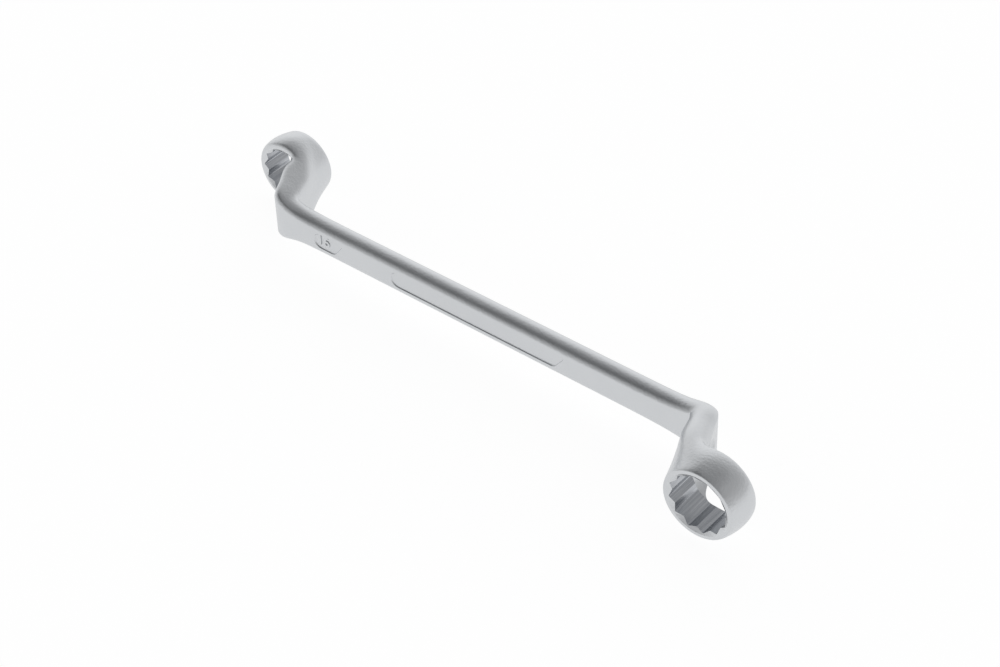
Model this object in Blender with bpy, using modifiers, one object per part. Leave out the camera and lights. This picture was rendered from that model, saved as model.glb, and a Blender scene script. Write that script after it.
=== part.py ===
"""Double ring spanner: one drop forging with two cranked necks and twelve-point ring heads.

Metres, +Z up. The shank runs along X and the ring axes along Y. The large ring lies at +X and
is offset to -Y, the small one lies at -X and is offset to +Y. The spanner stands on the rims of
its two rings, and the origin is on the floor under its middle.
"""
import math
from dataclasses import dataclass

import bmesh
import bpy
from mathutils import Matrix, Vector

MM = 0.001

# Sockets: nut sizes, the broach's allowance over them, its clocking in each ring, and the chamfered
# mouths, whose countersink runs in from outside
SMALL_ACROSS_FLATS = 16.0 * MM
LARGE_ACROSS_FLATS = 17.0 * MM
BROACH_ALLOWANCE = 0.2 * MM
SOCKET_POINTS = 12
SMALL_SOCKET_TURN = math.radians(2.0)
LARGE_SOCKET_TURN = math.radians(13.0)
MOUTH_CHAMFER = 0.35 * MM
MOUTH_CHAMFER_ANGLE = math.radians(32.0)
MOUTH_OVERRUN = 0.15 * MM

# Ring heads: greatest wall outside the socket's corners, height along the axis, and drop from the
# middle plane of the shank to the near face. The wall tapers most towards the free face.
SMALL_RING_WALL = 2.5 * MM
LARGE_RING_WALL = 2.95 * MM
SMALL_RING_HEIGHT = 11.0 * MM
LARGE_RING_HEIGHT = 11.4 * MM
SMALL_RING_DROP = 15.5 * MM
LARGE_RING_DROP = 15.9 * MM
FREE_RIM_TAPER = 1.1 * MM
LAND_TAPER = 0.5 * MM
NEAR_RIM_TAPER = 0.25 * MM
FREE_RIM_ROUND = 0.4 * MM
NEAR_RIM_ROUND = 0.9 * MM
RIM_FLAT = 0.6 * MM
RIM_LAND = 2.6 * MM
WAIST_SHARE = 0.42

# Shank: flat front and back, crowned narrow edges, a little wider at the large end
CENTRE_DISTANCE = 195.0 * MM
SHANK_THICKNESS = 6.9 * MM
SMALL_END_WIDTH = 11.85 * MM
LARGE_END_WIDTH = 12.3 * MM
SHANK_CROWN = 2.3 * MM

# Necks: cranked from the shank, spreading, thickening and rounding off from the knee to the ring
CRANK_ANGLE = math.radians(72.5)
SMALL_NECK_THICKNESS = 7.5 * MM
LARGE_NECK_THICKNESS = 7.6 * MM
KNEE_OUTER_BLEND = 9.5 * MM
KNEE_INNER_BLEND = 1.5 * MM
KNEE_LEAD = 9.0 * MM
KNEE_INNER_SPREAD = 3.0 * MM
SMALL_KNEE_SPREAD = 4.2 * MM
LARGE_KNEE_SPREAD = 3.0 * MM
RING_INNER_SPREAD = 5.0 * MM
RING_OUTER_SPREAD = 4.2 * MM
KNEE_CROWN = 2.2 * MM
RING_CROWN = 2.9 * MM
ROOT_FILLET = 1.8 * MM
NECK_LANDING = 5.0 * MM

# Shallow panels in the front face of the shank, square at the left and slanted at the right
PANEL_DEPTH = 0.3 * MM
PANEL_HEIGHT = 5.5 * MM
PANEL_SLANT = math.radians(38.0)
LONG_PANEL_FOOT = 63.0 * MM
LONG_PANEL_FROM_MIDDLE = -34.2 * MM
SIZE_PANEL_FOOT = 7.6 * MM
SIZE_PANEL_FROM_RING = 31.2 * MM

# Cage of the forging: counts, steps across a flat and an edge, heights of an edge's shoulders as a
# share of its crown, stations down the neck, and how sharp the lines stay
RING_SEGMENTS = 12
FLAT_STEPS = (-1.0, -0.7, 0.0, 0.7, 1.0)
EDGE_STEPS = (0.12, 0.5, 0.9)
SHANK_SHOULDER = 0.62
KNEE_SHOULDER = 0.84
RING_SHOULDER = 0.95
NECK_STATIONS = (0.25, 0.55, 0.9)
KNEE_START_SHARE = 0.35
KNEE_LOOPS = 2
SUBDIVISIONS = 2
SHANK_EDGE_CREASE = 0.2
NECK_OUTER_CREASE = 0.45
SHARP_ANGLE = math.radians(20.0)
CUT_CLEARANCE = 1.0 * MM

CHROME_COLOUR = (0.62, 0.63, 0.65, 1.0)
CHROME_ROUGHNESS = 0.32


@dataclass(frozen=True)
class Head:
    """Sizes of one ring head and of the shank end and neck that carry it."""

    name: str
    side: int
    across_flats: float
    wall: float
    height: float
    drop: float
    shank_width: float
    neck_thickness: float
    knee_spread: float
    socket_turn: float

    @property
    def socket_tip(self):
        """Radius to the points of two hexagons turned half a pitch."""
        return (self.across_flats + BROACH_ALLOWANCE) / math.sqrt(3.0)

    @property
    def socket_ridge(self):
        """Radius to the ridges between the points."""
        return (self.across_flats + BROACH_ALLOWANCE) / 2.0 / math.cos(math.pi / SOCKET_POINTS)

    @property
    def radius(self):
        return self.socket_tip + self.wall

    @property
    def free_face(self):
        return self.drop + self.height

    def place(self, along, offset, up):
        """Point at a length along the shank from its middle, an offset to the ring's side, and up."""
        return Vector((self.side * along, -self.side * offset, up))


SMALL = Head("small", -1, SMALL_ACROSS_FLATS, SMALL_RING_WALL, SMALL_RING_HEIGHT, SMALL_RING_DROP,
             SMALL_END_WIDTH, SMALL_NECK_THICKNESS, SMALL_KNEE_SPREAD, SMALL_SOCKET_TURN)
LARGE = Head("large", 1, LARGE_ACROSS_FLATS, LARGE_RING_WALL, LARGE_RING_HEIGHT, LARGE_RING_DROP,
             LARGE_END_WIDTH, LARGE_NECK_THICKNESS, LARGE_KNEE_SPREAD, LARGE_SOCKET_TURN)
RING_REACH = CENTRE_DISTANCE / 2.0

# A cubic surface runs inside its cage: these widen the cage so that the surface has the named size
BARREL_SWELL = (LAND_TAPER + NEAR_RIM_TAPER) / 4.0
RING_SWELL = 6.0 / (4.0 + 2.0 * math.cos(2.0 * math.pi / RING_SEGMENTS))

# Faces of a ring's cage that the neck covers, one for each face of the bar's flat
NECK_SPAN = len(FLAT_STEPS) - 1

# Places in a cage loop of the bar: its four flat-to-edge corners
INNER_LOW = 0
INNER_HIGH = len(FLAT_STEPS) - 1
OUTER_HIGH = INNER_HIGH + len(EDGE_STEPS) + 1
OUTER_LOW = OUTER_HIGH + len(FLAT_STEPS) - 1
FLAT_CORNERS = (INNER_LOW, INNER_HIGH, OUTER_HIGH, OUTER_LOW)


def clear_scene():
    for thing in list(bpy.data.objects):
        bpy.data.objects.remove(thing, do_unlink=True)


def new_collection(name):
    collection = bpy.data.collections.new(name)
    bpy.context.scene.collection.children.link(collection)
    return collection


def satin_chrome():
    material = bpy.data.materials.new("satin_chrome")
    material.use_nodes = True
    shader = material.node_tree.nodes["Principled BSDF"]
    shader.inputs["Base Color"].default_value = CHROME_COLOUR
    shader.inputs["Metallic"].default_value = 1.0
    shader.inputs["Roughness"].default_value = CHROME_ROUGHNESS
    return material


def section(head, inner, outer, inner_spread, outer_spread, crown, shoulder):
    """Cage loop across the bar, between a plan point on its inner flat and one on its outer flat:
    up the inner flat, over the crowned top edge, down the outer flat and back under."""
    base = head.shank_width / 2.0 - SHANK_CROWN
    inner_flat = base + inner_spread
    outer_flat = base + outer_spread
    top_edge = []
    for step, height in zip(EDGE_STEPS, (shoulder, 1.0, shoulder)):
        crest = inner_flat + (outer_flat - inner_flat) * step + crown * height
        top_edge.append((inner.lerp(outer, step), crest))
    loop = [head.place(*inner, inner_flat * step) for step in FLAT_STEPS]
    loop += [head.place(*point, crest) for point, crest in top_edge]
    loop += [head.place(*outer, -outer_flat * step) for step in FLAT_STEPS]
    loop += [head.place(*point, -crest) for point, crest in reversed(top_edge)]
    return loop


def between(first, second, share):
    return first + (second - first) * share


def bar_loops(head):
    """Cage loops from the shank round the knee and down the neck. The neck's inner flat runs
    straight from the shank's face to the ring's free rim, which it meets on the ring's near side."""
    half = SHANK_THICKNESS / 2.0
    along_neck = Vector((math.cos(CRANK_ANGLE), math.sin(CRANK_ANGLE)))
    across_neck = Vector((math.sin(CRANK_ANGLE), -math.cos(CRANK_ANGLE)))
    foot = Vector((RING_REACH - head.radius + LAND_TAPER, head.free_face - RIM_LAND))
    inner_corner = foot - along_neck * ((foot.y - half) / along_neck.y)
    outer_line = inner_corner + across_neck * head.neck_thickness
    outer_corner = outer_line - along_neck * ((outer_line.y + half) / along_neck.y)
    knee_inner = inner_corner - Vector((KNEE_INNER_BLEND, 0.0))
    knee_outer = outer_corner - Vector((KNEE_OUTER_BLEND, 0.0))
    lead_inner = knee_inner - Vector((KNEE_LEAD, 0.0))
    lead_outer = Vector((lead_inner.x, -half))
    loops = [section(head, lead_inner, lead_outer, 0.0, 0.0, SHANK_CROWN, SHANK_SHOULDER),
             section(head, knee_inner, knee_outer, KNEE_INNER_SPREAD * KNEE_START_SHARE,
                     head.knee_spread * KNEE_START_SHARE, SHANK_CROWN, SHANK_SHOULDER),
             section(head, inner_corner, outer_corner, KNEE_INNER_SPREAD, head.knee_spread, KNEE_CROWN,
                     KNEE_SHOULDER)]
    neck_length = (head.drop - half) / along_neck.y
    for share in NECK_STATIONS:
        inner = inner_corner + along_neck * (neck_length * share)
        outer = inner + across_neck * (head.neck_thickness + ROOT_FILLET * share)
        loops.append(section(head, inner, outer, between(KNEE_INNER_SPREAD, RING_INNER_SPREAD, share),
                             between(head.knee_spread, RING_OUTER_SPREAD, share),
                             between(KNEE_CROWN, RING_CROWN, share),
                             between(KNEE_SHOULDER, RING_SHOULDER, share)))
    return loops


def add_row(cage, points):
    return [cage.verts.new(point) for point in points]


def row_pairs(row, closed):
    """Neighbours along a row of cage points, and back to its start where it is closed."""
    return list(zip(row, row[1:] + row[:1] if closed else row[1:]))


def bridge(cage, first, second, closed=True):
    for (a, b), (c, d) in zip(row_pairs(first, closed), row_pairs(second, closed)):
        cage.faces.new((a, b, d, c))


def crease(cage, row, sharpness, closed=True):
    layers = cage.edges.layers.float
    layer = layers.get("crease_edge") or layers.new("crease_edge")
    for pair in row_pairs(row, closed):
        cage.edges.get(pair)[layer] = sharpness


def ring_row(cage, head, radius, offset):
    """Cage circle about the ring axis, whose first points face the neck from top to bottom."""
    points = []
    for k in range(RING_SEGMENTS):
        turn = math.pi + (k - NECK_SPAN / 2) * 2.0 * math.pi / RING_SEGMENTS
        reach = radius * RING_SWELL
        points.append(head.place(RING_REACH + reach * math.cos(turn), offset, reach * math.sin(turn)))
    return add_row(cage, points)


def ring_cage(cage, head):
    """Cage of a ring head as a disc, left open where the neck joins. Returns the open border in
    the order of a bar loop."""
    free = head.free_face
    near = head.drop
    free_rim = head.radius - FREE_RIM_TAPER
    near_rim = head.radius - NEAR_RIM_TAPER
    free_hub = ring_row(cage, head, head.socket_tip, free)
    land = ring_row(cage, head, head.radius - LAND_TAPER, free - RIM_LAND)
    free_rows = [free_hub, ring_row(cage, head, free_rim - RIM_FLAT, free),
                 ring_row(cage, head, free_rim - FREE_RIM_ROUND, free),
                 ring_row(cage, head, free_rim, free - FREE_RIM_ROUND), land]
    wall_rows = [ring_row(cage, head, head.radius + BARREL_SWELL, near + head.height * WAIST_SHARE),
                 ring_row(cage, head, near_rim, near + NEAR_RIM_ROUND),
                 ring_row(cage, head, near_rim - NEAR_RIM_ROUND, near)]
    near_hub = ring_row(cage, head, NECK_LANDING, near)
    cage.faces.new(free_hub)
    cage.faces.new(near_hub)
    for first, second in zip(free_rows, free_rows[1:]):
        bridge(cage, first, second)
    beyond_neck = slice(NECK_SPAN, None)
    open_rows = [land] + wall_rows + [near_hub]
    for first, second in zip(open_rows, open_rows[1:]):
        bridge(cage, first[beyond_neck] + first[:1], second[beyond_neck] + second[:1], closed=False)
    facing_neck = slice(0, NECK_SPAN + 1)
    return (list(reversed(land[facing_neck])) + [row[0] for row in wall_rows]
            + near_hub[facing_neck] + [row[NECK_SPAN] for row in reversed(wall_rows)])


def forging_cage():
    """Closed cage of the whole forging, lofted from ring to ring."""
    cage = bmesh.new()
    shank_ends = {}
    for head in (LARGE, SMALL):
        border = ring_cage(cage, head)
        loops = [add_row(cage, points) for points in bar_loops(head)]
        for first, second in zip(loops, loops[1:] + [border]):
            bridge(cage, first, second)
        for corner in FLAT_CORNERS:
            crease(cage, [loop[corner] for loop in loops[:KNEE_LOOPS]], SHANK_EDGE_CREASE, closed=False)
        for corner in (OUTER_HIGH, OUTER_LOW):
            crease(cage, [loop[corner] for loop in loops[KNEE_LOOPS - 1:]], NECK_OUTER_CREASE, closed=False)
        shank_ends[head.name] = loops[0]
    large_end = shank_ends["large"]
    small_end = [shank_ends["small"][OUTER_LOW - place] for place in range(len(large_end))]
    bridge(cage, large_end, small_end)
    for corner in FLAT_CORNERS:
        crease(cage, [large_end[corner], small_end[corner]], SHANK_EDGE_CREASE, closed=False)
    return cage


def to_mesh(shape, name):
    """Mesh data from a closed shape, with its faces outwards."""
    bmesh.ops.recalc_face_normals(shape, faces=shape.faces)
    data = bpy.data.meshes.new(name)
    shape.to_mesh(data)
    shape.free()
    return data


def add_object(name, data, collection, parent):
    thing = bpy.data.objects.new(name, data)
    collection.objects.link(thing)
    thing.parent = parent
    return thing


def add_cutter(name, shape, collection, parent):
    cutter = add_object(name, to_mesh(shape, name), collection, parent)
    cutter.data.shade_smooth()
    cutter.data.set_sharp_from_angle(angle=SHARP_ANGLE)
    cutter.hide_render = True
    cutter.display_type = "WIRE"
    return cutter


def on_ring_axis(head, offset):
    """Matrix that lays a shape made along +Z on the ring axis, pointing to the free face."""
    return Matrix.Translation(head.place(RING_REACH, offset, 0.0)) @ Matrix.Rotation(
        head.side * math.pi / 2.0, 4, "X")


def broach_cutter(head, collection, parent):
    """Twelve-point prism from past the free face up to the shank's level, so that it also clears
    the neck where that overhangs the socket."""
    shape = bmesh.new()
    length = head.free_face + CUT_CLEARANCE
    bmesh.ops.create_cone(shape, cap_ends=True, segments=2 * SOCKET_POINTS, radius1=head.socket_tip,
                          radius2=head.socket_tip, depth=length)
    for vert in shape.verts:
        place = round(math.atan2(vert.co.y, vert.co.x) * SOCKET_POINTS / math.pi)
        if place % 2:
            vert.co.xy *= head.socket_ridge / head.socket_tip
    shape.transform(on_ring_axis(head, length / 2.0) @ Matrix.Rotation(head.socket_turn, 4, "Z"))
    return add_cutter(head.name + "_broach", shape, collection, parent)


def mouth_cutter(head, face, end, collection, parent):
    """Countersink that breaks the socket's mouth at one face of the ring, run in from an end beyond
    the face. At the near face it clears the neck's root on its way."""
    outward = math.copysign(1.0, end - face)
    narrow = head.socket_ridge - CUT_CLEARANCE
    wide = head.socket_tip + MOUTH_CHAMFER + MOUTH_OVERRUN
    slope = math.tan(MOUTH_CHAMFER_ANGLE)
    mouth = face + outward * MOUTH_OVERRUN * slope
    shape = bmesh.new()
    rows = []
    segments = 4 * SOCKET_POINTS
    for radius, offset in ((narrow, mouth - outward * (wide - narrow) * slope), (wide, mouth), (wide, end)):
        turns = [2.0 * math.pi * k / segments for k in range(segments)]
        rows.append(add_row(shape, [head.place(RING_REACH + radius * math.cos(turn), offset,
                                               radius * math.sin(turn)) for turn in turns]))
    bridge(shape, rows[0], rows[1])
    bridge(shape, rows[1], rows[2])
    shape.faces.new(rows[0])
    shape.faces.new(rows[2])
    side = "free" if outward > 0 else "near"
    return add_cutter(f"{head.name}_{side}_mouth", shape, collection, parent)


def panel_cutter(name, left, foot, collection, parent):
    """Shallow block sunk in the front face of the shank, with its right end slanted."""
    shape = bmesh.new()
    bmesh.ops.create_cube(shape, size=1.0)
    depth = PANEL_DEPTH + CUT_CLEARANCE
    front = -SHANK_THICKNESS / 2.0 + PANEL_DEPTH
    for vert in shape.verts:
        right_end = vert.co.x > 0.0
        rise = (vert.co.z + 0.5) * PANEL_HEIGHT
        along = left + (foot + rise * math.tan(PANEL_SLANT) if right_end else 0.0)
        vert.co = Vector((along, front + (vert.co.y - 0.5) * depth, rise - PANEL_HEIGHT / 2.0))
    return add_cutter(name, shape, collection, parent)


def add_cut(forging, cutter):
    cut = forging.modifiers.new(cutter.name, "BOOLEAN")
    cut.operation = "DIFFERENCE"
    cut.object = cutter


def standing_empty(collection):
    """Empty that stands the spanner on its two ring rims, with its middle over the origin."""
    stand = bpy.data.objects.new("stand", None)
    collection.objects.link(stand)
    stand.rotation_euler.y = -math.asin((LARGE.radius - SMALL.radius) / CENTRE_DISTANCE)
    stand.location = ((SMALL.radius - LARGE.radius) / 2.0, (LARGE.free_face - SMALL.free_face) / 2.0,
                      (LARGE.radius + SMALL.radius) / 2.0)
    return stand


def build_spanner():
    spanner = new_collection("double_ring_spanner")
    cutters = new_collection("cutters")
    stand = standing_empty(spanner)
    forging = add_object("spanner_forging", to_mesh(forging_cage(), "spanner_forging"), spanner, stand)
    forging.data.materials.append(satin_chrome())
    forging.data.shade_smooth()
    form = forging.modifiers.new("forged_form", "SUBSURF")
    form.levels = SUBDIVISIONS
    form.render_levels = SUBDIVISIONS
    for head in (SMALL, LARGE):
        add_cut(forging, broach_cutter(head, cutters, stand))
        add_cut(forging, mouth_cutter(head, head.free_face, head.free_face + CUT_CLEARANCE, cutters,
                                      stand))
        add_cut(forging, mouth_cutter(head, head.drop, 0.0, cutters, stand))
    add_cut(forging, panel_cutter("long_panel", LONG_PANEL_FROM_MIDDLE, LONG_PANEL_FOOT, cutters, stand))
    add_cut(forging, panel_cutter("size_panel", SIZE_PANEL_FROM_RING - RING_REACH, SIZE_PANEL_FOOT,
                                  cutters, stand))


clear_scene()
build_spanner()
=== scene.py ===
"""Looks of a double ring spanner: one satin-chromed drop forging, standing on a pale studio floor.

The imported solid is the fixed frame. A finer forging of the same overall size stands for it, with
broached sockets, sunk panels and a raised size number. Metres, +Z up, the shank along X.
"""
import math
from dataclasses import dataclass

import bmesh
import bpy
import numpy as np
from mathutils import Matrix, Vector


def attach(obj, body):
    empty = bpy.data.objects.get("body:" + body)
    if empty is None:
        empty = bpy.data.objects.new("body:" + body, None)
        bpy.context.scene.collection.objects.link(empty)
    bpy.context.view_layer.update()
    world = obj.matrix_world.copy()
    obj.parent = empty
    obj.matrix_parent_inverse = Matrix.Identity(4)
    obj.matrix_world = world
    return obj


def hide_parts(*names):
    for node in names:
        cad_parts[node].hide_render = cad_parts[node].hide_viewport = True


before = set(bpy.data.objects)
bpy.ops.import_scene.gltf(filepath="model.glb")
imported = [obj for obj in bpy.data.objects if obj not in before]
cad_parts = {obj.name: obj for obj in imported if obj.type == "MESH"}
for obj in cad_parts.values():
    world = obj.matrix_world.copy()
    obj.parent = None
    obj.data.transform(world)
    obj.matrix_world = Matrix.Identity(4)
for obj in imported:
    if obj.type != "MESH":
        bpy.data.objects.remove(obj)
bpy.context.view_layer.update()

# Forging
# The whole spanner is one drop forging of alloy steel: a flat shank with crowned edges, a cranked
# neck at each end and a ring on each neck. It is blasted and then chromed, so the skin is satin.

MM = 0.001

# Rings: sized by the nuts that they fit, and tapered to the free rim
SMALL_ACROSS_FLATS = 16.0 * MM
LARGE_ACROSS_FLATS = 17.0 * MM
BROACH_ALLOWANCE = 0.2 * MM
SOCKET_POINTS = 12
SMALL_SOCKET_TURN = math.radians(2.0)
LARGE_SOCKET_TURN = math.radians(13.0)
SMALL_RING_WALL = 2.5 * MM
LARGE_RING_WALL = 2.95 * MM
SMALL_RING_HEIGHT = 11.0 * MM
LARGE_RING_HEIGHT = 11.4 * MM
SMALL_RING_DROP = 15.5 * MM
LARGE_RING_DROP = 15.9 * MM
FREE_RIM_TAPER = 1.1 * MM
LAND_TAPER = 0.5 * MM
NEAR_RIM_TAPER = 0.25 * MM
FREE_RIM_ROUND = 0.4 * MM
NEAR_RIM_ROUND = 0.9 * MM
RIM_FLAT = 0.6 * MM
RIM_LAND = 2.6 * MM
WAIST_SHARE = 0.42

# Shank: a flat bar, a little wider towards the large ring, with crowned edges
CENTRE_DISTANCE = 195.0 * MM
SHANK_THICKNESS = 6.9 * MM
SMALL_END_WIDTH = 11.85 * MM
LARGE_END_WIDTH = 12.3 * MM
SHANK_CROWN = 2.3 * MM

# Necks: cranked from the shank, and spread above and below it towards the ring
KNEE_CROWN = 2.2 * MM
RING_CROWN = 2.9 * MM
CRANK_ANGLE = math.radians(72.5)
SMALL_NECK_THICKNESS = 7.5 * MM
LARGE_NECK_THICKNESS = 7.6 * MM
KNEE_OUTER_BLEND = 9.5 * MM
KNEE_INNER_BLEND = 1.5 * MM
KNEE_LEAD = 9.0 * MM
SMALL_KNEE_INNER_SPREAD = 1.8 * MM
LARGE_KNEE_INNER_SPREAD = 3.0 * MM
SMALL_KNEE_SPREAD = 3.2 * MM
LARGE_KNEE_SPREAD = 3.0 * MM
SMALL_RING_INNER_SPREAD = 2.4 * MM
LARGE_RING_INNER_SPREAD = 5.0 * MM
RING_OUTER_SPREAD = 4.2 * MM
SMALL_ROOT_FILLET = 3.2 * MM
LARGE_ROOT_FILLET = 1.8 * MM
NECK_LANDING = 5.0 * MM

# Cage: its points across the bar and along it, as shares, and how sharp its edges stay
RING_SEGMENTS = 12
FLAT_STEPS = (-1.0, -0.7, 0.0, 0.7, 1.0)
EDGE_STEPS = (0.12, 0.5, 0.9)
SMALL_NECK_EDGE = (0.12, 0.5, 0.9)
LARGE_NECK_EDGE = (0.3, 0.55, 0.8)
SHANK_SHOULDER = 0.62
SMALL_KNEE_SHOULDER = 0.97
LARGE_KNEE_SHOULDER = 0.84
RING_SHOULDER = 0.95
NECK_STATIONS = (0.25, 0.55, 0.9)
KNEE_INNER_START_SHARE = 0.42
KNEE_OUTER_START_SHARE = 0.12
KNEE_LOOPS = 2
SHANK_LOOPS = 7
NECK_SPAN = len(FLAT_STEPS) - 1
SUBDIVISIONS = 3
SHANK_EDGE_CREASE = 0.2
NECK_OUTER_CREASE = 0.6
NECK_INNER_CREASE = 0.4
INNER_CREASE_LOOPS = 3

# A cubic surface runs inside its cage: these widen the cage so that the surface has the named size
BARREL_SWELL = (LAND_TAPER + NEAR_RIM_TAPER) / 4.0
RING_SWELL = 6.0 / (4.0 + 2.0 * math.cos(2.0 * math.pi / RING_SEGMENTS))

# Places in a cage loop of the bar: its four flat-to-edge corners
INNER_LOW = 0
INNER_HIGH = len(FLAT_STEPS) - 1
OUTER_HIGH = INNER_HIGH + len(EDGE_STEPS) + 1
OUTER_LOW = OUTER_HIGH + len(FLAT_STEPS) - 1
FLAT_CORNERS = (INNER_LOW, INNER_HIGH, OUTER_HIGH, OUTER_LOW)


@dataclass(frozen=True)
class Head:
    """Sizes of one ring head and of the shank end and neck that carry it."""

    name: str
    side: int
    across_flats: float
    wall: float
    height: float
    drop: float
    shank_width: float
    neck_thickness: float
    knee_inner_spread: float
    knee_spread: float
    ring_inner_spread: float
    root_fillet: float
    knee_shoulder: float
    neck_edge: tuple
    socket_turn: float

    @property
    def socket_tip(self):
        """Radius to the points of two hexagons turned half a pitch."""
        return (self.across_flats + BROACH_ALLOWANCE) / math.sqrt(3.0)

    @property
    def socket_ridge(self):
        """Radius to the ridges between the points."""
        return (self.across_flats + BROACH_ALLOWANCE) / 2.0 / math.cos(math.pi / SOCKET_POINTS)

    @property
    def radius(self):
        return self.socket_tip + self.wall

    @property
    def free_face(self):
        return self.drop + self.height

    def place(self, along, offset, up):
        """Point at a length along the shank from its middle, an offset to the ring's side, and up."""
        return Vector((self.side * along, -self.side * offset, up))


SMALL = Head(
    name="small", side=-1, across_flats=SMALL_ACROSS_FLATS, wall=SMALL_RING_WALL,
    height=SMALL_RING_HEIGHT, drop=SMALL_RING_DROP, shank_width=SMALL_END_WIDTH,
    neck_thickness=SMALL_NECK_THICKNESS, knee_inner_spread=SMALL_KNEE_INNER_SPREAD,
    knee_spread=SMALL_KNEE_SPREAD, ring_inner_spread=SMALL_RING_INNER_SPREAD,
    root_fillet=SMALL_ROOT_FILLET, knee_shoulder=SMALL_KNEE_SHOULDER,
    neck_edge=SMALL_NECK_EDGE, socket_turn=SMALL_SOCKET_TURN)
LARGE = Head(
    name="large", side=1, across_flats=LARGE_ACROSS_FLATS, wall=LARGE_RING_WALL,
    height=LARGE_RING_HEIGHT, drop=LARGE_RING_DROP, shank_width=LARGE_END_WIDTH,
    neck_thickness=LARGE_NECK_THICKNESS, knee_inner_spread=LARGE_KNEE_INNER_SPREAD,
    knee_spread=LARGE_KNEE_SPREAD, ring_inner_spread=LARGE_RING_INNER_SPREAD,
    root_fillet=LARGE_ROOT_FILLET, knee_shoulder=LARGE_KNEE_SHOULDER,
    neck_edge=LARGE_NECK_EDGE, socket_turn=LARGE_SOCKET_TURN)
RING_REACH = CENTRE_DISTANCE / 2.0

# The spanner stands on the rims of its two rings, with its middle over the origin
lean = Matrix.Rotation(-math.asin((LARGE.radius - SMALL.radius) / CENTRE_DISTANCE), 4, "Y")
standing = Matrix.Translation(((SMALL.radius - LARGE.radius) / 2.0,
                               (LARGE.free_face - SMALL.free_face) / 2.0,
                               (LARGE.radius + SMALL.radius) / 2.0)) @ lean


def section(head, inner, outer, inner_spread, outer_spread, crown, shoulder, edge_steps=EDGE_STEPS):
    """Cage loop across the bar, between a plan point on its inner flat and one on its outer flat:
    up the inner flat, over the crowned top edge, down the outer flat and back under."""
    base = head.shank_width / 2.0 - SHANK_CROWN
    inner_flat = base + inner_spread
    outer_flat = base + outer_spread
    top_edge = []
    for step, height in zip(edge_steps, (shoulder, 1.0, shoulder)):
        crest = inner_flat + (outer_flat - inner_flat) * step + crown * height
        top_edge.append((inner.lerp(outer, step), crest))
    loop = [head.place(*inner, inner_flat * step) for step in FLAT_STEPS]
    loop += [head.place(*point, crest) for point, crest in top_edge]
    loop += [head.place(*outer, -outer_flat * step) for step in FLAT_STEPS]
    loop += [head.place(*point, -crest) for point, crest in reversed(top_edge)]
    return loop


def between(first, second, share):
    """Value at a share of the way from the first to the second."""
    return first + (second - first) * share


def bar_loops(head):
    """Cage loops from the shank round the knee and down the neck. The neck's inner flat runs
    straight from the shank's face to the ring's free rim, which it meets on the ring's near side."""
    half = SHANK_THICKNESS / 2.0
    along_neck = Vector((math.cos(CRANK_ANGLE), math.sin(CRANK_ANGLE)))
    across_neck = Vector((math.sin(CRANK_ANGLE), -math.cos(CRANK_ANGLE)))
    foot = Vector((RING_REACH - head.radius + LAND_TAPER, head.free_face - RIM_LAND))
    inner_corner = foot - along_neck * ((foot.y - half) / along_neck.y)
    outer_line = inner_corner + across_neck * head.neck_thickness
    outer_corner = outer_line - along_neck * ((outer_line.y + half) / along_neck.y)
    knee_inner = inner_corner - Vector((KNEE_INNER_BLEND, 0.0))
    knee_outer = outer_corner - Vector((KNEE_OUTER_BLEND, 0.0))
    lead_inner = knee_inner - Vector((KNEE_LEAD, 0.0))
    lead_outer = Vector((lead_inner.x, -half))
    start_inner_spread = head.knee_inner_spread * KNEE_INNER_START_SHARE
    start_outer_spread = head.knee_spread * KNEE_OUTER_START_SHARE
    loops = [section(head, lead_inner, lead_outer, 0.0, 0.0, SHANK_CROWN, SHANK_SHOULDER),
             section(head, knee_inner, knee_outer, start_inner_spread, start_outer_spread,
                     SHANK_CROWN, SHANK_SHOULDER),
             section(head, inner_corner, outer_corner, head.knee_inner_spread, head.knee_spread,
                     KNEE_CROWN, head.knee_shoulder, head.neck_edge)]
    neck_length = (head.drop - half) / along_neck.y
    for share in NECK_STATIONS:
        inner = inner_corner + along_neck * (neck_length * share)
        outer = inner + across_neck * (head.neck_thickness + head.root_fillet * share)
        inner_spread = between(head.knee_inner_spread, head.ring_inner_spread, share)
        outer_spread = between(head.knee_spread, RING_OUTER_SPREAD, share)
        crown = between(KNEE_CROWN, RING_CROWN, share)
        shoulder = between(head.knee_shoulder, RING_SHOULDER, share)
        loops.append(section(head, inner, outer, inner_spread, outer_spread, crown, shoulder,
                             head.neck_edge))
    return loops


def add_row(cage, points):
    return [cage.verts.new(point) for point in points]


def row_pairs(row, closed):
    """Neighbours along a row of cage points, and back to its start where it is closed."""
    return list(zip(row, row[1:] + row[:1] if closed else row[1:]))


def bridge(cage, first, second, closed=True):
    """Faces between two rows of cage points."""
    for (a, b), (c, d) in zip(row_pairs(first, closed), row_pairs(second, closed)):
        cage.faces.new((a, b, d, c))


def crease(cage, row, sharpness):
    """Keeps the cage edges along a row this sharp under subdivision."""
    layers = cage.edges.layers.float
    layer = layers.get("crease_edge") or layers.new("crease_edge")
    for pair in row_pairs(row, closed=False):
        cage.edges.get(pair)[layer] = sharpness


def ring_row(cage, head, radius, offset):
    """Cage circle about the ring axis, whose first points face the neck from top to bottom."""
    points = []
    for k in range(RING_SEGMENTS):
        turn = math.pi + (k - NECK_SPAN / 2) * 2.0 * math.pi / RING_SEGMENTS
        reach = radius * RING_SWELL
        along = RING_REACH + reach * math.cos(turn)
        points.append(head.place(along, offset, reach * math.sin(turn)))
    return add_row(cage, points)


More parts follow.
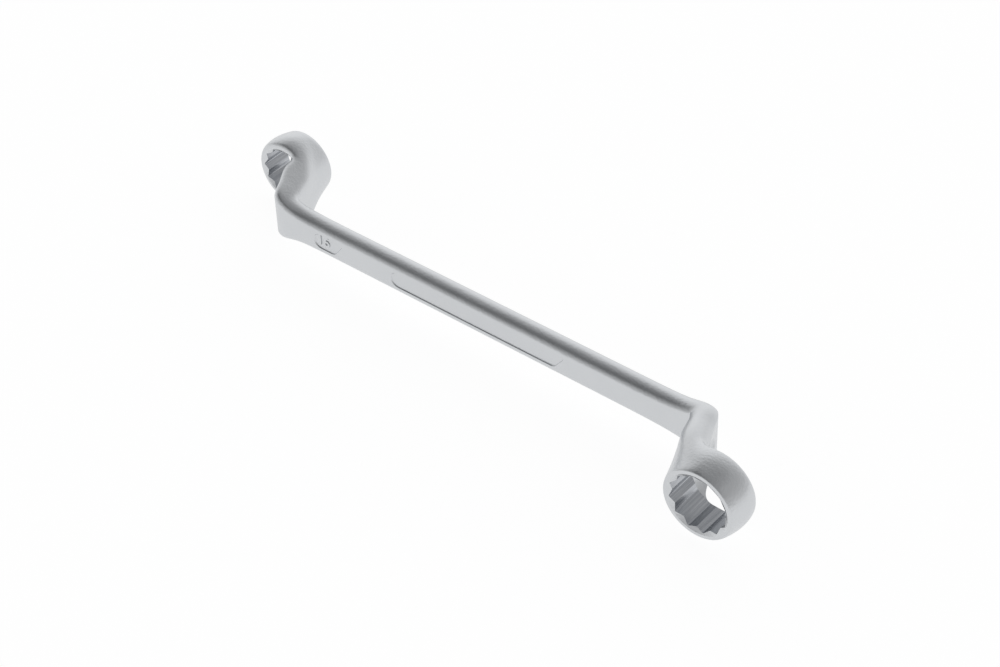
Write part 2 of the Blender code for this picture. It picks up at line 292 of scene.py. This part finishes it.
def ring_cage(cage, head):
    """Cage of a ring head as a disc, left open where the neck joins. Returns the open border in
    the order of a bar loop."""
    free = head.free_face
    near = head.drop
    free_rim = head.radius - FREE_RIM_TAPER
    near_rim = head.radius - NEAR_RIM_TAPER
    free_hub = ring_row(cage, head, head.socket_tip, free)
    land = ring_row(cage, head, head.radius - LAND_TAPER, free - RIM_LAND)
    free_rows = [free_hub, ring_row(cage, head, free_rim - RIM_FLAT, free),
                 ring_row(cage, head, free_rim - FREE_RIM_ROUND, free),
                 ring_row(cage, head, free_rim, free - FREE_RIM_ROUND), land]
    wall_rows = [ring_row(cage, head, head.radius + BARREL_SWELL, near + head.height * WAIST_SHARE),
                 ring_row(cage, head, near_rim, near + NEAR_RIM_ROUND),
                 ring_row(cage, head, near_rim - NEAR_RIM_ROUND, near)]
    near_hub = ring_row(cage, head, NECK_LANDING, near)
    cage.faces.new(free_hub)
    cage.faces.new(near_hub)
    for first, second in zip(free_rows, free_rows[1:]):
        bridge(cage, first, second)
    beyond_neck = slice(NECK_SPAN, None)
    open_rows = [land] + wall_rows + [near_hub]
    for first, second in zip(open_rows, open_rows[1:]):
        bridge(cage, first[beyond_neck] + first[:1], second[beyond_neck] + second[:1], closed=False)
    facing_neck = slice(0, NECK_SPAN + 1)
    return (list(reversed(land[facing_neck])) + [row[0] for row in wall_rows]
            + near_hub[facing_neck] + [row[NECK_SPAN] for row in reversed(wall_rows)])


def forging_cage():
    """Closed cage of the whole forging, lofted from ring to ring."""
    cage = bmesh.new()
    shank_ends = {}
    for head in (LARGE, SMALL):
        border = ring_cage(cage, head)
        loops = [add_row(cage, points) for points in bar_loops(head)]
        for first, second in zip(loops, loops[1:] + [border]):
            bridge(cage, first, second)
        for corner in FLAT_CORNERS:
            crease(cage, [loop[corner] for loop in loops[:KNEE_LOOPS]], SHANK_EDGE_CREASE)
        neck = loops[KNEE_LOOPS - 1:]
        for corner in (OUTER_HIGH, OUTER_LOW):
            crease(cage, [loop[corner] for loop in neck], NECK_OUTER_CREASE)
        for corner in (INNER_HIGH, INNER_LOW):
            crease(cage, [loop[corner] for loop in neck[:INNER_CREASE_LOOPS]], NECK_INNER_CREASE)
        shank_ends[head.name] = loops[0]
    large_end = shank_ends["large"]
    small_end = [shank_ends["small"][OUTER_LOW - place] for place in range(len(large_end))]
    shank = [large_end]
    for step in range(1, SHANK_LOOPS):
        shank.append(add_row(cage, [large.co.lerp(small.co, step / SHANK_LOOPS)
                                    for large, small in zip(large_end, small_end)]))
    shank.append(small_end)
    for first, second in zip(shank, shank[1:]):
        bridge(cage, first, second)
    for corner in FLAT_CORNERS:
        crease(cage, [loop[corner] for loop in shank], SHANK_EDGE_CREASE)
    return cage


def shape_object(name, shape):
    """Object of a closed shape, with its faces outwards."""
    bmesh.ops.recalc_face_normals(shape, faces=shape.faces)
    data = bpy.data.meshes.new(name)
    shape.to_mesh(data)
    shape.free()
    thing = bpy.data.objects.new(name, data)
    bpy.context.scene.collection.objects.link(thing)
    return thing


NOISE_MIDDLE = 0.5


class Shade:
    """A socket in a tree of nodes, of a finish or a shape. Sums and products add Math nodes."""

    def __init__(self, tree, socket=None):
        self.tree = tree
        self.socket = socket

    def node(self, kind, settings=None, inputs=None, output=0):
        """Adds a node of any kind: its settings first, then the values or links of its sockets."""
        made = self.tree.nodes.new(kind)
        for name, value in (settings or {}).items():
            setattr(made, name, value)
        for name, value in (inputs or {}).items():
            if isinstance(value, Shade):
                self.tree.links.new(value.socket, made.inputs[name])
            else:
                made.inputs[name].default_value = value
        return Shade(self.tree, made.outputs[output])

    def maths(self, operation, *values):
        return self.node("ShaderNodeMath", {"operation": operation}, dict(enumerate(values)))

    def __add__(self, other):
        return self.maths("ADD", self, other)

    __radd__ = __add__

    def __sub__(self, other):
        return self.maths("SUBTRACT", self, other)

    def __rsub__(self, other):
        return self.maths("SUBTRACT", other, self)

    def __mul__(self, other):
        return self.maths("MULTIPLY", self, other)

    __rmul__ = __mul__

    def clamped(self):
        return self.maths("MINIMUM", self.maths("MAXIMUM", self, 0.0), 1.0)

    def smooth(self, low, high):
        """0 at low, 1 at high and an even S between them, rising or, where low is more, falling."""
        return self.node("ShaderNodeMapRange", {"interpolation_type": "SMOOTHSTEP"},
                         {"Value": self, "From Min": low, "From Max": high})

    def grain(self, size, detail, stretch=(1.0, 1.0, 1.0)):
        """Noise about NOISE_MIDDLE over the piece, with features of about this size, in metres."""
        place = self.node("ShaderNodeTexCoord", output="Object")
        scale = [1.0 / length for length in stretch]
        drawn = self.node("ShaderNodeMapping", {}, {"Vector": place, "Scale": scale})
        return self.node("ShaderNodeTexNoise", {},
                         {"Vector": drawn, "Scale": 1.0 / size, "Detail": detail})

    def relief(self, height, distance):
        """Surface normal bumped by a height from 0 to 1, over a distance in metres."""
        return self.node("ShaderNodeBump", {},
                         {"Height": height, "Distance": distance, "Strength": 1.0}, "Normal")


def metal(name, colour, base_colour, roughness, normal):
    """Metallic material whose colour, roughness and normal are shades made by functions of the tree."""
    material = bpy.data.materials.new(name)
    material.use_nodes = True
    material.diffuse_color = (*colour, 1.0)
    tree = material.node_tree
    shader = tree.nodes["Principled BSDF"]
    shader.inputs["Metallic"].default_value = 1.0
    start = Shade(tree)
    for socket, make in (("Base Color", base_colour), ("Roughness", roughness), ("Normal", normal)):
        tree.links.new(make(start).socket, shader.inputs[socket])
    return material


# Blasted skin: satin, a little uneven from the dies, and polished bright where hands rub its edges
SKIN_COLOUR = (0.611, 0.626, 0.644)
RUBBED_COLOUR = (0.684, 0.695, 0.709)
SKIN_ROUGHNESS = 0.325
RUBBED_ROUGHNESS = 0.27
RUBBED_TINT = 0.8
CLOUD_SIZE = 9.0 * MM
CLOUD_DETAIL = 3.0
CLOUD_RANGE = (0.3, 0.7)
CLOUD_TINT = 0.18
CLOUD_ROUGHENING = 0.06
BLAST_SIZE = 0.8 * MM
SPECK_DETAIL = 2.0
SPECK_RANGE = (0.35, 0.75)
SPECK_TINT = 0.08
SPECK_ROUGHENING = 0.05
BLAST_DEPTH = 0.08 * MM
BLAST_DETAIL = 3.0
DIE_WAVE_SIZE = 7.0 * MM
DIE_WAVE_DEPTH = 0.08 * MM
DIE_WAVE_DETAIL = 1.0


def rubbed(start):
    return start.node("ShaderNodeAttribute", {"attribute_name": "rubbed"}, output="Fac")


def skin_colour(start):
    cloud = start.grain(CLOUD_SIZE, CLOUD_DETAIL).smooth(*CLOUD_RANGE)
    speck = start.grain(BLAST_SIZE, SPECK_DETAIL).smooth(*SPECK_RANGE)
    share = (rubbed(start) * RUBBED_TINT + cloud * CLOUD_TINT + speck * SPECK_TINT).clamped()
    return start.node("ShaderNodeMix", {"data_type": "RGBA"},
                      {"Factor": share, "A": (*SKIN_COLOUR, 1.0), "B": (*RUBBED_COLOUR, 1.0)},
                      "Result")


def skin_roughness(start):
    cloud = start.grain(CLOUD_SIZE, CLOUD_DETAIL) - NOISE_MIDDLE
    speck = start.grain(BLAST_SIZE, SPECK_DETAIL) - NOISE_MIDDLE
    worn = rubbed(start) * (RUBBED_ROUGHNESS - SKIN_ROUGHNESS)
    return worn + cloud * CLOUD_ROUGHENING + speck * SPECK_ROUGHENING + SKIN_ROUGHNESS


def skin_relief(start):
    waves = start.grain(DIE_WAVE_SIZE, DIE_WAVE_DETAIL)
    blasted = start.grain(BLAST_SIZE, BLAST_DETAIL)
    return start.relief(waves + blasted * (BLAST_DEPTH / DIE_WAVE_DEPTH), DIE_WAVE_DEPTH)


satin_chrome = metal("satin_chrome", SKIN_COLOUR, skin_colour, skin_roughness, skin_relief)

# Sockets
# Each ring is broached right through with a twelve-point profile, which also cuts into the neck
# where that overhangs. The mouths are chamfered on both faces to lead the nut in.

CUT_CLEARANCE = 1.0 * MM
TIP_ROUND = 0.6 * MM
RIDGE_ROUND = 0.25 * MM
ROUND_STEPS = 4
MOUTH_CHAMFER = 0.35 * MM
MOUTH_CHAMFER_ANGLE = math.radians(32.0)
MOUTH_OVERRUN = 0.15 * MM
MOUTH_SEGMENTS = 96
BROACH_COLOUR = (0.38, 0.396, 0.425)
BROACH_ROUGHNESS = 0.3
BROACH_LINE_SIZE = 0.35 * MM
BROACH_LINE_STRETCH = (1.0, 40.0, 1.0)
BROACH_LINE_DETAIL = 3.0
BROACH_LINE_RANGE = (0.25, 0.75)
BROACH_LINE_TINT = 0.6
BROACH_LINE_ROUGHENING = 0.16
BROACH_LINE_DEPTH = 0.006 * MM


def broach_lines(start):
    return start.grain(BROACH_LINE_SIZE, BROACH_LINE_DETAIL, BROACH_LINE_STRETCH)


def broach_colour(start):
    lines = broach_lines(start).smooth(*BROACH_LINE_RANGE)
    return start.node("ShaderNodeMix", {"data_type": "RGBA"},
                      {"Factor": lines * BROACH_LINE_TINT, "A": (*BROACH_COLOUR, 1.0),
                       "B": (*SKIN_COLOUR, 1.0)}, "Result")


def broach_roughness(start):
    return (broach_lines(start) - NOISE_MIDDLE) * BROACH_LINE_ROUGHENING + BROACH_ROUGHNESS


def broach_relief(start):
    return start.relief(broach_lines(start), BROACH_LINE_DEPTH)


broached_chrome = metal("broached_chrome", BROACH_COLOUR, broach_colour, broach_roughness,
                        broach_relief)


def broach_tree():
    """Geometry Nodes of a broach: points on a circle, every second one drawn in to a ridge, their
    corners rounded, and the profile drawn along Z."""
    tree = bpy.data.node_groups.new("broach", "GeometryNodeTree")
    for name, kind in (("Points", "NodeSocketInt"), ("Tip Radius", "NodeSocketFloat"),
                       ("Ridge Radius", "NodeSocketFloat"), ("Tip Round", "NodeSocketFloat"),
                       ("Ridge Round", "NodeSocketFloat"), ("Length", "NodeSocketFloat"),
                       ("Finish", "NodeSocketMaterial")):
        tree.interface.new_socket(name, in_out="INPUT", socket_type=kind)
    tree.interface.new_socket("Broach", in_out="OUTPUT", socket_type="NodeSocketGeometry")
    start = Shade(tree)
    group = tree.nodes.new("NodeGroupInput")
    size = {socket.name: Shade(tree, socket) for socket in group.outputs if socket.name}
    ridge = start.maths("MODULO", start.node("GeometryNodeInputIndex"), 2.0)
    circle = start.node("GeometryNodeCurvePrimitiveCircle", {"mode": "RADIUS"},
                        {"Resolution": size["Points"] * 2.0, "Radius": 1.0})
    radius = size["Tip Radius"] + ridge * (size["Ridge Radius"] - size["Tip Radius"])
    point = start.node("ShaderNodeVectorMath", {"operation": "SCALE"},
                       {"Vector": start.node("GeometryNodeInputPosition"), "Scale": radius})
    star = start.node("GeometryNodeSetPosition", {}, {"Geometry": circle, "Position": point})
    rounding = size["Tip Round"] + ridge * (size["Ridge Round"] - size["Tip Round"])
    profile = start.node("GeometryNodeFilletCurve", {"mode": "POLY"},
                         {"Curve": star, "Count": ROUND_STEPS, "Radius": rounding})
    end = start.node("ShaderNodeCombineXYZ", {}, {"Z": size["Length"]})
    axis = start.node("GeometryNodeCurvePrimitiveLine", {}, {"End": end})
    solid = start.node("GeometryNodeCurveToMesh", {},
                       {"Curve": axis, "Profile Curve": profile, "Fill Caps": True})
    whole = start.node("GeometryNodeRealizeInstances", {}, {"Geometry": solid})
    finished = start.node("GeometryNodeSetMaterial", {},
                          {"Geometry": whole, "Material": size["Finish"]})
    out = tree.nodes.new("NodeGroupOutput")
    tree.links.new(finished.socket, out.inputs["Broach"])
    return tree


def plain_mesh(thing):
    """The evaluated mesh of an object, with no modifiers left on it."""
    ready = thing.evaluated_get(bpy.context.evaluated_depsgraph_get())
    return bpy.data.meshes.new_from_object(ready)


def on_ring_axis(head):
    """Matrix that lays a shape made along +Z on the ring axis, pointing to the free face."""
    laid = Matrix.Rotation(head.side * math.pi / 2.0, 4, "X")
    return Matrix.Translation(head.place(RING_REACH, 0.0, 0.0)) @ laid


def broach_cutter(head, tree):
    """Twelve-point tool from the shank's level to past the free face."""
    cutter = shape_object(head.name + "_broach", bmesh.new())
    drawn = cutter.modifiers.new("broach", "NODES")
    drawn.node_group = tree
    sizes = {"Points": SOCKET_POINTS, "Tip Radius": head.socket_tip, "Ridge Radius": head.socket_ridge,
             "Tip Round": TIP_ROUND, "Ridge Round": RIDGE_ROUND,
             "Length": head.free_face + CUT_CLEARANCE, "Finish": broached_chrome}
    for item in tree.interface.items_tree:
        if item.in_out == "INPUT":
            drawn[item.identifier] = sizes[item.name]
    cutter.data = plain_mesh(cutter)
    cutter.modifiers.clear()
    cutter.data.transform(on_ring_axis(head) @ Matrix.Rotation(head.socket_turn, 4, "Z"))
    return cutter


def mouth_cutter(head, face, end):
    """Countersink that breaks the socket's mouth at one face of the ring, run in from an end beyond
    the face. At the near face it clears the neck's root on its way."""
    outward = math.copysign(1.0, end - face)
    narrow = head.socket_ridge - CUT_CLEARANCE
    wide = head.socket_tip + MOUTH_CHAMFER + MOUTH_OVERRUN
    slope = math.tan(MOUTH_CHAMFER_ANGLE)
    mouth = face + outward * MOUTH_OVERRUN * slope
    bottom = mouth - outward * (wide - narrow) * slope
    turns = [2.0 * math.pi * k / MOUTH_SEGMENTS for k in range(MOUTH_SEGMENTS)]
    shape = bmesh.new()
    rows = []
    for radius, offset in ((narrow, bottom), (wide, mouth), (wide, end)):
        circle = [head.place(RING_REACH + radius * math.cos(turn), offset, radius * math.sin(turn))
                  for turn in turns]
        rows.append(add_row(shape, circle))
    bridge(shape, rows[0], rows[1])
    bridge(shape, rows[1], rows[2])
    shape.faces.new(rows[0])
    shape.faces.new(rows[2])
    side = "free" if outward > 0 else "near"
    return shape_object(f"{head.name}_{side}_mouth", shape)


broach = broach_tree()
cutters = []
for head in (SMALL, LARGE):
    cutters.append(broach_cutter(head, broach))
    cutters.append(mouth_cutter(head, head.free_face, head.free_face + CUT_CLEARANCE))
    cutters.append(mouth_cutter(head, head.drop, 0.0))

# Panels
# Two shallow panels that the forging die sinks in the shank's front face: a long bare one, and a
# short one for the size number. Their walls have draft, most at the rounded left, and slant at the right.

PANEL_DEPTH = 0.3 * MM
PANEL_HEIGHT = 5.5 * MM
PANEL_SLANT = math.radians(38.0)
PANEL_DRAFT = math.radians(25.0)
PANEL_END_DRAFT = math.radians(50.0)
PANEL_LEFT_CORNER = 2.0 * MM
PANEL_RIGHT_CORNER = 1.2 * MM
PANEL_CORNER_STEPS = 4
ROUND_PROFILE = 0.5
LONG_PANEL_FOOT = 63.9 * MM
LONG_PANEL_FROM_MIDDLE = -35.1 * MM
SIZE_PANEL_FOOT = 8.6 * MM
SIZE_PANEL_FROM_RING = 30.3 * MM
panel_floor = -SHANK_THICKNESS / 2.0 + PANEL_DEPTH


def panel_cutter(name, left, foot):
    """Shallow drafted block, upright at the left and slanted at the right, with rounded corners."""
    shape = bmesh.new()
    rise = PANEL_HEIGHT / 2.0
    run = PANEL_HEIGHT * math.tan(PANEL_SLANT)
    rows = []
    for level in (-PANEL_DEPTH, CUT_CLEARANCE):
        offset = level * math.tan(PANEL_DRAFT)
        left_end = left - level * math.tan(PANEL_END_DRAFT)
        low_right = left + foot + offset / math.cos(PANEL_SLANT) - offset * math.tan(PANEL_SLANT)
        high_right = low_right + run + 2.0 * offset * math.tan(PANEL_SLANT)
        corners = ((left_end, -rise - offset), (low_right, -rise - offset),
                   (high_right, rise + offset), (left_end, rise + offset))
        y = -SHANK_THICKNESS / 2.0 - level
        rows.append(add_row(shape, [Vector((x, y, z)) for x, z in corners]))
    bridge(shape, *rows)
    for row in rows:
        shape.faces.new(row)
    low_left, low_right, high_right, high_left = (shape.edges.get(pair) for pair in zip(*rows))
    ends = (((low_left, high_left), PANEL_LEFT_CORNER), ((low_right, high_right), PANEL_RIGHT_CORNER))
    for edges, corner in ends:
        bmesh.ops.bevel(shape, geom=edges, offset=corner, offset_type="OFFSET",
                        segments=PANEL_CORNER_STEPS, profile=ROUND_PROFILE, affect="EDGES")
    return shape_object(name, shape)


size_panel_left = SIZE_PANEL_FROM_RING - RING_REACH
cutters.append(panel_cutter("long_panel", LONG_PANEL_FROM_MIDDLE, LONG_PANEL_FOOT))
cutters.append(panel_cutter("size_panel", size_panel_left, SIZE_PANEL_FOOT))

# Finished forging
# The forging is trimmed, broached and ground before it is plated, so the cuts are made in its form
# and the finish lies over all of it.

SHARP_ANGLE = math.radians(30.0)
forging = shape_object("spanner", forging_cage())
forging.data.materials.append(satin_chrome)
forging.data.shade_smooth()
form = forging.modifiers.new("forged_form", "SUBSURF")
form.levels = SUBDIVISIONS
form.render_levels = SUBDIVISIONS
for cutter in cutters:
    if not cutter.data.materials:
        cutter.data.materials.append(satin_chrome)
    cut = forging.modifiers.new(cutter.name, "BOOLEAN")
    cut.operation = "DIFFERENCE"
    cut.material_mode = "TRANSFER"
    cut.object = cutter
forging.data = plain_mesh(forging)
forging.modifiers.clear()
for cutter in cutters:
    bpy.data.objects.remove(cutter, do_unlink=True)
forging.data.transform(standing)
forging.data.shade_smooth()
forging.data.set_sharp_from_angle(angle=SHARP_ANGLE)

# Rubbing follows the convex edges: how far the normals turn apart, in radians per metre of mesh edge
RUBBED_CURVATURE = (250.0, 1400.0)
RUBBED_REACH = 0.5 * MM
SPREADING_PASSES = 3


def edge_rubbing(data):
    """Share of rubbing at each vertex, from 0 on flats and hollows to 1 on tight convex edges."""
    count = len(data.vertices)
    point = np.empty(count * 3)
    data.vertices.foreach_get("co", point)
    point = point.reshape(-1, 3)
    normal = np.empty(count * 3)
    data.vertices.foreach_get("normal", normal)
    normal = normal.reshape(-1, 3)
    pair = np.empty(len(data.edges) * 2, int)
    data.edges.foreach_get("vertices", pair)
    pair = pair.reshape(-1, 2)
    step = point[pair[:, 0]] - point[pair[:, 1]]
    turn = normal[pair[:, 0]] - normal[pair[:, 1]]
    bend = (turn * step).sum(1) / np.maximum((step * step).sum(1), RUBBED_REACH ** 2)
    ends = pair.ravel()
    neighbours = np.bincount(ends, minlength=count)
    bent = np.zeros(count)
    np.maximum.at(bent, ends, np.repeat(bend, 2))
    for _ in range(SPREADING_PASSES):
        beside = np.bincount(ends, weights=bent[pair[:, ::-1].ravel()], minlength=count)
        bent = (bent + beside) / (1.0 + neighbours)
    low, high = RUBBED_CURVATURE
    return np.clip((bent - low) / (high - low), 0.0, 1.0)


rubbing = forging.data.attributes.new("rubbed", "FLOAT", "POINT")
rubbing.data.foreach_set("value", edge_rubbing(forging.data).astype(np.float32))
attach(forging, "root")
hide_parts("spanner_forging")

# Size number
# The size of the small socket stands in raised figures on the floor of the short panel, forged with
# the shank. It is the plain nut size in millimetres.

FIGURE_HEIGHT = 3.9 * MM
FIGURE_RAISE = 0.25 * MM
FIGURE_SINK = 0.1 * MM
FIGURE_EDGE = 0.06 * MM
FIGURE_EDGE_STEPS = 1
FIGURE_FROM_LEFT = 3.95 * MM
FIGURE_LIFT = 0.6 * MM
FIGURE_WEIGHT = 0.08 * MM
CAP_SHARE = 0.73
figures = bpy.data.curves.new("size_number", "FONT")
figures.body = f"{SMALL_ACROSS_FLATS / MM:.0f}"
figures.size = FIGURE_HEIGHT / CAP_SHARE
figures.align_x = "CENTER"
figures.align_y = "CENTER"
figures.extrude = (FIGURE_RAISE + FIGURE_SINK) / 2.0 - FIGURE_EDGE
figures.bevel_depth = FIGURE_EDGE
figures.offset = FIGURE_WEIGHT
figures.bevel_resolution = FIGURE_EDGE_STEPS
drawing = bpy.data.objects.new("drawing", figures)
bpy.context.scene.collection.objects.link(drawing)
size_number = bpy.data.objects.new("size_number", plain_mesh(drawing))
bpy.context.scene.collection.objects.link(size_number)
bpy.data.objects.remove(drawing, do_unlink=True)
facing_front = Matrix.Rotation(math.pi / 2.0, 4, "X")
figure_middle = panel_floor + FIGURE_SINK - (FIGURE_RAISE + FIGURE_SINK) / 2.0
on_panel = Matrix.Translation((size_panel_left + FIGURE_FROM_LEFT, figure_middle, FIGURE_LIFT))
size_number.data.transform(standing @ on_panel @ facing_front)
size_number.data.materials.clear()
size_number.data.materials.append(satin_chrome)
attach(size_number, "root")

# Studio
# A pale floor that runs out of sight, a large soft light behind the spanner, a weak one overhead,
# and a dark room round the camera, which the metal mirrors as its dark bands.

FLOOR_SIZE = 6.0
FLOOR_COLOUR = (0.86, 0.86, 0.86)
FLOOR_GLOW = 0.915
FLOOR_SHADE = (0.17, 0.17, 0.17)
CAMERA_AZIMUTH = math.radians(40.291)
CAMERA_ELEVATION = math.radians(40.422)
CAMERA_ROLL = math.radians(-1.601)
CAMERA_DISTANCE = 711.4 * MM
CAMERA_LENS = 85.03
CAMERA_NEAR = 10.0 * MM
CAMERA_TARGET = Vector((4.96, 0.40, 8.35)) * MM
UPWARD = Vector((0.0, 0.0, 1.0))
camera_side = Vector((math.sin(CAMERA_AZIMUTH), -math.cos(CAMERA_AZIMUTH), 0.0))
camera_back = camera_side * math.cos(CAMERA_ELEVATION) + UPWARD * math.sin(CAMERA_ELEVATION)

floor_shape = bmesh.new()
bmesh.ops.create_grid(floor_shape, x_segments=1, y_segments=1, size=FLOOR_SIZE / 2.0)
floor = shape_object("floor", floor_shape)
floor_finish = bpy.data.materials.new("pale_floor")
floor_finish.use_nodes = True
floor_tree = floor_finish.node_tree
floor_tree.nodes.clear()
paint = Shade(floor_tree)
ray = floor_tree.nodes.new("ShaderNodeLightPath")
seen = paint.maths("MAXIMUM", Shade(floor_tree, ray.outputs["Is Camera Ray"]),
                   paint.maths("MAXIMUM", Shade(floor_tree, ray.outputs["Is Glossy Ray"]),
                               Shade(floor_tree, ray.outputs["Is Transmission Ray"])))
lit = paint.node("ShaderNodeBsdfDiffuse", {}, {"Color": (*FLOOR_COLOUR, 1.0)})
shaded = paint.node("ShaderNodeBsdfDiffuse", {}, {"Color": (*FLOOR_SHADE, 1.0)})
glow = paint.node("ShaderNodeEmission", {}, {"Strength": FLOOR_GLOW})
pale = paint.node("ShaderNodeAddShader", {}, {0: shaded, 1: glow})
surface = paint.node("ShaderNodeMixShader", {}, {0: seen, 1: lit, 2: pale})
floor_out = floor_tree.nodes.new("ShaderNodeOutputMaterial")
floor_tree.links.new(surface.socket, floor_out.inputs["Surface"])
floor.data.materials.append(floor_finish)

# Each light fades in between two cosines of the angle to its axis, or to the upright for its top
ROOM_COLOUR = (0.055, 0.057, 0.06)
SWEEP_COLOUR = (0.615, 0.615, 0.615)
SWEEP_TOP = (0.98, 0.226)
BOX_COLOUR = (1.237, 1.237, 1.237)
BOX_TOP = (1.3, 0.65)
BOX_SIDE = (0.15, 1.3)
BOX_TURN = math.radians(7.8)
OVERHEAD_COLOUR = (0.26, 0.26, 0.26)
OVERHEAD_TURN = math.radians(107.0)
OVERHEAD_RISE = math.radians(74.0)
OVERHEAD_EDGE = (0.71, 0.82)
WHITE = (1.0, 1.0, 1.0)
world = bpy.data.worlds.new("studio")
bpy.context.scene.world = world
world.use_nodes = True
sky = world.node_tree
sky.nodes.clear()
air = Shade(sky)
box_axis = Matrix.Rotation(-BOX_TURN, 3, "Z") @ -camera_side
overhead_axis = (Matrix.Rotation(-OVERHEAD_TURN, 3, "Z") @ -camera_side * math.cos(OVERHEAD_RISE)
                 + UPWARD * math.sin(OVERHEAD_RISE))
direction = air.node("ShaderNodeTexCoord", output="Generated")


def facing(axis):
    """Cosine of the angle between a direction in the room and an axis."""
    return air.node("ShaderNodeVectorMath", {"operation": "DOT_PRODUCT"},
                    {0: direction, 1: axis}, "Value")


height = facing(UPWARD)
beyond = facing(box_axis)
above = facing(overhead_axis)
walls = air.node("ShaderNodeMix", {"data_type": "RGBA"},
                 {"Factor": height.smooth(*SWEEP_TOP), "A": (*ROOM_COLOUR, 1.0),
                  "B": (*SWEEP_COLOUR, 1.0)}, "Result")
walls = air.node("ShaderNodeMix", {"data_type": "RGBA", "blend_type": "ADD"},
                 {"Factor": above.smooth(*OVERHEAD_EDGE), "A": walls,
                  "B": (*OVERHEAD_COLOUR, 1.0)}, "Result")
light_box = air.node("ShaderNodeMix", {"data_type": "RGBA"},
                     {"Factor": height.smooth(*BOX_TOP) * beyond.smooth(*BOX_SIDE),
                      "A": walls, "B": (*BOX_COLOUR, 1.0)}, "Result")
room = air.node("ShaderNodeBackground", {}, {"Color": light_box})
white = air.node("ShaderNodeBackground", {}, {"Color": (*WHITE, 1.0)})
sky_ray = air.node("ShaderNodeLightPath", output="Is Camera Ray")
sky_shown = air.node("ShaderNodeMixShader", {}, {0: sky_ray, 1: room, 2: white})
sky_out = sky.nodes.new("ShaderNodeOutputWorld")
sky.links.new(sky_shown.socket, sky_out.inputs["Surface"])

camera_right = Vector((math.cos(CAMERA_AZIMUTH), math.sin(CAMERA_AZIMUTH), 0.0))
camera_up = camera_back.cross(camera_right)
right = camera_right * math.cos(CAMERA_ROLL) + camera_up * math.sin(CAMERA_ROLL)
up = camera_up * math.cos(CAMERA_ROLL) - camera_right * math.sin(CAMERA_ROLL)
camera_data = bpy.data.cameras.new("camera")
camera_data.lens = CAMERA_LENS
camera_data.clip_start = CAMERA_NEAR
camera = bpy.data.objects.new("camera", camera_data)
bpy.context.scene.collection.objects.link(camera)
aim = Matrix((right, up, camera_back)).transposed().to_4x4()
camera.matrix_world = Matrix.Translation(CAMERA_TARGET + camera_back * CAMERA_DISTANCE) @ aim
bpy.context.scene.camera = camera
bpy.context.scene.view_settings.view_transform = "Standard"
